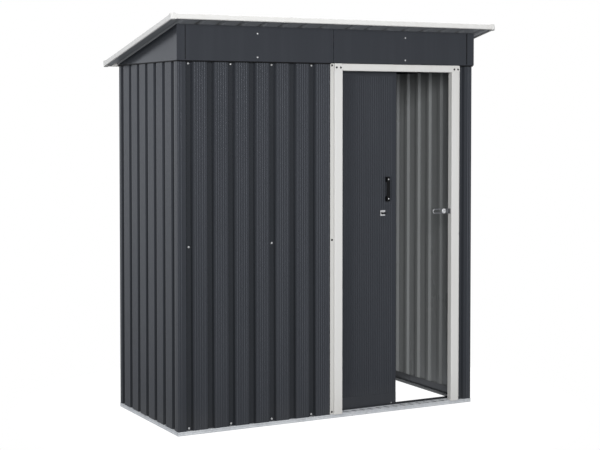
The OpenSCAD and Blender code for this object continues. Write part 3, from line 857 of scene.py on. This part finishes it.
@dataclass
class Doorway:
    """White jambs and header, the top track, the hasp and their screws."""

    shop: Workshop
    head: ScrewHead = ScrewHead(head_r=4.8 * MM, head_h=2.2 * MM)
    lip_head: ScrewHead = ScrewHead(head_r=2.7 * MM, head_h=1.8 * MM)
    turn_step: float = 0.9
    flange: float = 18 * MM
    lip: float = 6 * MM
    jamb_rows: tuple[float, ...] = (29 * MM, 817 * MM, 1609 * MM)
    header_screw_z: float = 1600 * MM
    header_screw_x: tuple[float, ...] = (10 * MM, 31 * MM)
    boss: ScrewHead = ScrewHead(head_r=12 * MM, head_h=2.2 * MM, segments=48)
    boss_inset: float = 22 * MM
    hasp_t: float = 1.5 * MM
    roll_r: float = 2 * MM
    roll_steps: int = 20
    roll_sides: int = 10
    roll_fullness: float = 0.5

    def dress(self) -> None:
        """Coats the door frame, with painted shade on the left jamb's flange, and the fittings."""
        self.shop.coat(["door_jamb_right", "door_header"], (Finish.WHITE,))
        # The left jamb's flange gets the darker white: painted shade.
        flange_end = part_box("door_jamb_left")[0][0] + self.flange
        self.shop.coat(["door_jamb_left"], (Finish.WHITE, Finish.FLANGE_SHADE),
                       lambda middle, normal: 1 if middle.x < flange_end else 0)
        self.shop.coat(["door_track_top"], (Finish.ZINC,))
        self.shop.coat(["hasp_bracket", "lock_hasp"], (Finish.DULL_PLATE,))

    def build(self) -> None:
        """Adds the screws of the jambs and the header, and the finer forms of the hasp."""
        flange_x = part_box("door_jamb_left")[0][0] + self.flange / 2
        flange_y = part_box("corner_post_front_left")[0][1]
        low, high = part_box("door_header")
        feet = [(flange_x, flange_y, z) for z in self.jamb_rows]
        for inset in self.header_screw_x:
            feet += [(x, low[1], self.header_screw_z) for x in (low[0] + inset, high[0] - inset)]
        screws = [Screw(self.head, Facing.FRONT, foot, self.turn_step * count)
                  for count, foot in enumerate(feet)]
        lip_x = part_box("door_jamb_right")[1][0] - self.lip / 2
        screws += [Screw(self.lip_head, Facing.FRONT, (lip_x, flange_y, z), turn=z) for z in self.jamb_rows]
        self.shop.screws("door_frame_screws", screws, (Finish.DARK_PAINT_AND_SHADE,), SHED, "wall_coat")
        self._hasp_boss()

    def _hasp_boss(self) -> None:
        """Adds the round boss at the root of the hasp and the rolled edge of its free end."""
        low, high = (Vector(c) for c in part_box("lock_hasp"))
        middle_z = (low.z + high.z) / 2
        face_y = high.y - self.hasp_t
        shape = bmesh.new()
        place = Facing.FRONT.frame((high.x - self.boss_inset, face_y, middle_z))
        self.boss.add(shape, place, 0.0, False)
        end_r = (high.z - low.z) / 2 - self.roll_r
        centre = Vector((low.x + end_r + self.roll_r, face_y, middle_z))
        self._rolled_edge(shape, centre, end_r)
        self.shop.piece("hasp_boss", shape, (Finish.PLATE,), HASP, "bright_steel")

    def _rolled_edge(self, shape: bmesh.types.BMesh, centre: Vector, radius: float) -> None:
        """Adds a round bead along the half circle of the hasp's free end.

        Args:
            shape: The mesh to add to.
            centre: Middle of the round end, on the front face of the strap.
            radius: Radius of the bead's own middle line.
        """
        across = Vector(Facing.BACK.value)
        rings = []
        for i in range(self.roll_steps + 1):
            turn = math.pi * (0.5 + i / self.roll_steps)
            outwards = Vector((math.cos(turn), 0, math.sin(turn)))
            taper = math.sin(math.pi * (i + 0.5) / (self.roll_steps + 1)) ** self.roll_fullness
            ring = []
            for k in range(self.roll_sides):
                angle = 2 * math.pi * k / self.roll_sides
                offset = self.roll_r * taper * (math.cos(angle) * outwards + math.sin(angle) * across)
                ring.append(shape.verts.new(centre + radius * outwards + offset))
            rings.append(ring)
        loft(shape, rings)


@dataclass
class Roof:
    """Roof sheets, fascia, gables and edge trims, with their screws, and black strips and beads of painted
    shadow.
    """

    shop: Workshop
    head: ScrewHead = ScrewHead(head_r=4.4 * MM)
    fascia_rows: tuple[float, ...] = (1638 * MM, 1742 * MM)
    strip_h: float = 5.5 * MM
    strip_t: float = 2 * MM
    strip_edge: float = 0.5
    strip_bevel: float = 0.3
    strip_inset: tuple[float, float] = (0.8 * MM, 1.3 * MM)
    header_gap: float = 1.9 * MM
    corner_leg: float = 38.2 * MM
    bead_w: float = 4 * MM
    bead_t: float = 0.9 * MM
    bead_steps: int = 8

    def dress(self) -> None:
        """Coats the roof: dark sheets and white edges."""
        self.shop.coat(["roof_sheet_left", "roof_sheet_right"], (Finish.COAT, Finish.UNDER),
                       Facing.UP.inner())
        sides = {"fascia_left": Facing.FRONT, "fascia_right": Facing.FRONT, "gable_left": Facing.LEFT,
                 "gable_right": Facing.RIGHT}
        for name, facing in sides.items():
            self.shop.coat([name], (Finish.COAT, Finish.BACK), facing.inner())
        self.shop.coat(["fascia_corners"], (Finish.COAT,))
        trims = [n for n in self.shop.nodes if n.startswith("roof_trim")]
        self.shop.coat([*trims, "roof_corner_caps"], (Finish.WHITE,))
        self.shop.coat(["roof_beam"], (Finish.ZINC,))

    def build(self) -> None:
        """Adds the screws of the fascia, and the black strips and beads of painted shadow."""
        screws = []
        for name in ("fascia_left", "fascia_right"):
            low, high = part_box(name)
            middle_x = (low[0] + high[0]) / 2
            screws += [Screw(self.head, Facing.FRONT, (middle_x, low[1], z), turn=z)
                       for z in self.fascia_rows]
        self.shop.screws("fascia_screws", screws, (Finish.PLATE,), SHED, "bright_steel")
        self._eave_shadow_strips()
        self._corner_shadow_beads()

    def _eave_shadow_strips(self) -> None:
        """Adds a black strip under the fascia and gables, in front of the walls: painted shadow below their
        edges.
        """
        gable_low, gable_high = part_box("gable_left")
        inset_x, inset_y = self.strip_inset
        side_x = gable_low[0] + inset_x
        front_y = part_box("fascia_left")[0][1] + inset_y
        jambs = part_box("door_jamb_left")[0][0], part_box("door_jamb_right")[1][0]
        shape = bmesh.new()
        for side, end_x in zip((-1, 1), jambs):
            corner_x = -side * side_x
            route = (((corner_x, gable_high[1]), (-side, 0)), ((corner_x, front_y), (-side, 1)),
                     ((end_x, front_y), (0, 1)))
            self._shadow_strip(shape, route, gable_low[2], self.strip_h)
        self._shadow_strip(shape, tuple(((x, front_y), (0, 1)) for x in jambs), gable_low[2], self.header_gap)
        # Black strip standing for the shadow line under the fascia and gables: painted shadow.
        self.shop.piece("eave_shadow_strip", shape, (Finish.BLACK,), SHED, "black_plastic")

    def _shadow_strip(self, shape: bmesh.types.BMesh, route: Sequence[PlanPoint], top: float, drop: float) -> None:
        """Adds one length of the black strip of painted shadow, with a rounded lower edge.

        Args:
            shape: The mesh to add to.
            route: Points of the outer face in plan, each with the way inward from it.
            top: Height of the seal's upper side.
            drop: Height of the seal.
        """
        edge = self.strip_edge * min(self.strip_t, drop)
        bevel = self.strip_bevel * edge
        section = ((0, 0), (0, drop - edge), (bevel, drop - bevel), (edge, drop), (self.strip_t, drop),
                   (self.strip_t, 0))
        rings = []
        for (x, y), (inward_x, inward_y) in route:
            rings.append([shape.verts.new((x + inset * inward_x, y + inset * inward_y, top - down))
                          for inset, down in section])
        loft(shape, rings)

    def _corner_shadow_beads(self) -> None:
        """Adds thin black beads where the fascia's corner trims end on its face: painted shadow of the
        trims' edges.
        """
        trim_low, trim_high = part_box("fascia_corners")
        fascia_low, fascia_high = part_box("fascia_left")
        ends = (trim_low[2] + self.bead_w, fascia_high[2] - self.bead_w)
        arc = [math.pi * k / self.bead_steps for k in range(self.bead_steps + 1)]
        shape = bmesh.new()
        for side in (-1, 1):
            middle_x = side * (trim_high[0] - self.corner_leg - self.bead_w / 2)
            outline = [(middle_x + self.bead_w / 2 * math.cos(a), fascia_low[1] - self.bead_t * math.sin(a))
                       for a in arc]
            loft(shape, [[shape.verts.new((x, y, z)) for x, y in outline] for z in ends])
        # Black beads standing for the shadow line at the trims' edges: painted shadow.
        self.shop.piece("corner_shadow_lines", shape, (Finish.BLACK,), SHED, "black_plastic")


@dataclass
class SlidingDoor:
    """The finely ribbed door with its handle, staple and glides."""

    shop: Workshop
    head: ScrewHead = ScrewHead(head_r=3.4 * MM, head_h=1.8 * MM)
    grip_t: float = 4 * MM
    tab: float = 22 * MM
    screw_inset: float = 12 * MM
    plate_t: float = 1.5 * MM
    slant: float = 4 * MM
    corner: float = 1.6 * MM
    corner_steps: int = 4
    grip_steps: int = 56
    grip_smooth_deg: float = 60.0
    foot_inset: float = 25 * MM
    foot_h: float = 14 * MM

    def dress(self) -> None:
        """Coats the door outside and inside, and its fittings, with painted shade on the staple's eye."""
        self.shop.coat(["door_leaf", "door_top_rail", "door_bottom_rail"], (Finish.COAT, Finish.BACK),
                       Facing.FRONT.inner())
        self.shop.coat(["door_handle", "door_glides"], (Finish.BLACK,))
        # The staple's eye, in front of its plate, is dark: painted shade and painted dark reflection.
        plate_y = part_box("door_staple")[1][1] - 2 * self.plate_t
        self.shop.coat(["door_staple"], (Finish.PLATE, Finish.DARK_PAINT_AND_SHADE),
                       lambda middle, normal: 1 if middle.y < plate_y else 0)

    def build(self) -> None:
        """Adds the rounded handle with its screws, and the screws at the foot of the door."""
        low, high = (Vector(c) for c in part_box("door_handle"))
        grip = self._grip(low, high)
        handle = self.shop.piece("handle_grip", grip, (Finish.BLACK,), DOOR, "black_plastic",
                                 self.grip_smooth_deg)
        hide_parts("door_handle")
        middle_x = (low.x + high.x) / 2
        ends = (low.z + self.screw_inset, high.z - self.screw_inset)
        screws = [Screw(self.head, Facing.FRONT, (middle_x, low.y, z), turn=z) for z in ends]
        self.shop.screws("handle_screws", screws, (Finish.PLATE,), DOOR, "bright_steel")
        self._foot_screws(high.y)

    def _foot_screws(self, face_y: float) -> None:
        """Adds the two screws that hold the glides at the foot of the door.

        Args:
            face_y: Front of the door's flat edge band.
        """
        low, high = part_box("door_leaf")
        z = low[2] + self.foot_h
        sides = (low[0] + self.foot_inset, high[0] - self.foot_inset)
        screws = [Screw(self.head, Facing.FRONT, (x, face_y, z), turn=x) for x in sides]
        self.shop.screws("door_foot_screws", screws, (Finish.PLATE,), DOOR, "bright_steel")

    def _grip(self, low: Vector, high: Vector) -> bmesh.types.BMesh:
        """Lofts the handle: solid screwed ends, and a thin rounded bar between them.

        Args:
            low: Lowest corner of the handle's place.
            high: Highest corner of the handle's place.

        Returns:
            The handle's mesh.
        """
        length = high.z - low.z
        shape = bmesh.new()
        rings = []
        for i in range(self.grip_steps + 1):
            along = i / self.grip_steps * length
            end = min(along, length - along)
            open_share = min(1.0, max(0.0, (end - self.tab) / self.slant))
            back = high.y - (high.y - low.y - self.grip_t) * open_share
            inset = self.corner * max(0.0, 1 - end / self.corner) ** 2
            rings.append(self._section(shape, low.x + inset, high.x - inset, low.y + inset, back,
                                       low.z + along))
        loft(shape, rings)
        return shape

    def _section(self, shape: bmesh.types.BMesh, x0: float, x1: float, y0: float, y1: float,
                 z: float) -> list[bmesh.types.BMVert]:
        """Adds one ring of the handle, a rectangle with rounded corners.

        Args:
            shape: The handle's mesh.
            x0: Left side.
            x1: Right side.
            y0: Front.
            y1: Back.
            z: Height.

        Returns:
            The ring's vertices.
        """
        ring = []
        for x, y, start in ((x1, y1, 0), (x0, y1, 90), (x0, y0, 180), (x1, y0, 270)):
            centre_x = x - math.copysign(self.corner, x - (x0 + x1) / 2)
            centre_y = y - math.copysign(self.corner, y - (y0 + y1) / 2)
            for step in range(self.corner_steps + 1):
                angle = math.radians(start + 90 * step / self.corner_steps)
                ring.append(shape.verts.new((centre_x + self.corner * math.cos(angle),
                                             centre_y + self.corner * math.sin(angle), z)))
        return ring


@dataclass(frozen=True)
class SoftBox:
    """One rectangular studio light."""

    name: str
    place: Point
    target: Point
    size: tuple[float, float]
    power: float
    mirrored: bool

    def build(self) -> None:
        """Adds the light to the scene, looking at its target."""
        data = bpy.data.lights.new(self.name, "AREA")
        data.shape = "RECTANGLE"
        data.size, data.size_y = self.size
        data.energy = self.power
        light = bpy.data.objects.new(self.name, data)
        light.location = self.place
        light.visible_glossy = self.mirrored
        towards = Vector(self.target) - Vector(self.place)
        light.rotation_euler = towards.to_track_quat("-Z", "Y").to_euler()
        bpy.context.scene.collection.objects.link(light)


@dataclass(frozen=True)
class Lobe:
    """A brighter patch of the surround, with the cosines where it starts and where it is full."""

    side: Point
    glow: float
    start: float
    full: float


@dataclass
class Studio:
    """White floor, soft light and the camera at the angle of the photograph."""

    shop: Workshop
    camera_place: Point = (-3.0833, -5.7757, 1.3991)
    camera_yaw: float = 28.10
    camera_pitch: float = 2.0
    sensor: float = 36.0
    lens: float = 82.88
    shift_y: float = -0.1083
    floor_r: float = 1.35
    floor_segments: int = 96
    dim: float = 0.29
    cool: Colour = (0.92, 0.95, 1.0, 1.0)
    lobes: tuple[Lobe, ...] = (
        # Behind on the left, mirrored by the left wall and gable.
        Lobe((-0.45, 0.85, 0.32), 0.76, 0.82, 0.985),
        # Ahead, mirrored by the fine beads of the front.
        Lobe((-0.05, -1.0, 0.05), 2.3, 0.94, 0.995),
        # Ahead on the left, mirrored by the slanted sides of the door's ribs.
        Lobe((-0.87, -0.48, 0.03), 1.0, 0.94, 0.99),
        # On the left, mirrored by folds that look to the left and a little forward.
        Lobe((-0.98, 0.18, 0.08), 1.2, 0.84, 0.98),
        # Ahead on the right and high, mirrored by the flat strips of the front and more by the fascia.
        Lobe((0.47, -0.86, 0.35), 0.26, 0.90, 1.0),
    )
    boxes: tuple[SoftBox, ...] = (
        SoftBox("key_left", (-6.0, 1.5, 3.5), (0, 0, 1.0), (2.4, 2.4), 120.0, False),
        SoftBox("fill_front", (-2.6, -6.6, 2.4), (0, 0, 0.9), (2.4, 2.4), 450.0, False),
        SoftBox("rim_back", (5.0, 5.5, 3.2), (0, 0, 0.9), (3.0, 3.0), 620.0, False),
        SoftBox("top", (0.0, 0.0, 6.0), (0, 0, 0), (5.0, 5.0), 240.0, True),
    )

    def build(self) -> None:
        """Sets up the floor, the lights, the sky and the camera."""
        self._floor()
        for box in self.boxes:
            box.build()
        self._sky()
        self._camera()
        bpy.context.scene.view_settings.view_transform = "Standard"

    def _floor(self) -> None:
        """Adds the floor, which isn't part of the shed."""
        shape = bmesh.new()
        bmesh.ops.create_circle(shape, cap_ends=True, radius=self.floor_r, segments=self.floor_segments)
        mesh = bpy.data.meshes.new("studio_floor")
        shape.to_mesh(mesh)
        shape.free()
        mesh.materials.append(self.shop.palette.get(Finish.PAPER))
        floor = bpy.data.objects.new("studio_floor", mesh)
        bpy.context.scene.collection.objects.link(floor)
        floor.visible_glossy = False

    def _sky(self) -> None:
        """Sets a surround with a glow for each lobe, which is plain white as a backdrop."""
        world = bpy.data.worlds.new("studio_surround")
        bpy.context.scene.world = world
        g = Graph(world)
        direction = g.add("ShaderNodeTexCoord", {}, {}, "Generated")
        dot = {"operation": "DOT_PRODUCT"}
        light: Value = self.dim
        for lobe in self.lobes:
            towards = g.add("ShaderNodeVectorMath", dot, [direction, lobe.side], "Value")
            light = light + lobe.glow * g.ramp(towards, lobe.start, lobe.full)
        seen = g.add("ShaderNodeLightPath", {}, {}, "Is Camera Ray")
        strength = light + seen * (1.0 - light)
        colour = g.mix(seen, self.cool, grey(1.0))
        background = g.add("ShaderNodeBackground", {}, {"Color": colour, "Strength": strength})
        g.add("ShaderNodeOutputWorld", {}, {"Surface": background})

    def _camera(self) -> None:
        """Adds the camera of the photograph."""
        data = bpy.data.cameras.new("photo_camera")
        data.sensor_fit = "HORIZONTAL"
        data.sensor_width = self.sensor
        data.lens = self.lens
        data.shift_y = self.shift_y
        camera = bpy.data.objects.new("photo_camera", data)
        camera.location = self.camera_place
        camera.rotation_euler = (math.radians(90 - self.camera_pitch), 0, -math.radians(self.camera_yaw))
        bpy.context.scene.collection.objects.link(camera)
        bpy.context.scene.camera = camera


def main() -> None:
    """Loads the frame, dresses each sub-assembly and sets up the studio."""
    logging.basicConfig(level=logging.INFO, format="%(name)s: %(message)s")
    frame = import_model()
    shop = Workshop(frame)
    for part in (Base(shop), Walls(shop), Doorway(shop), Roof(shop), SlidingDoor(shop)):
        part.dress()
        part.build()
    Studio(shop).build()


if __name__ == "__main__":
    main()
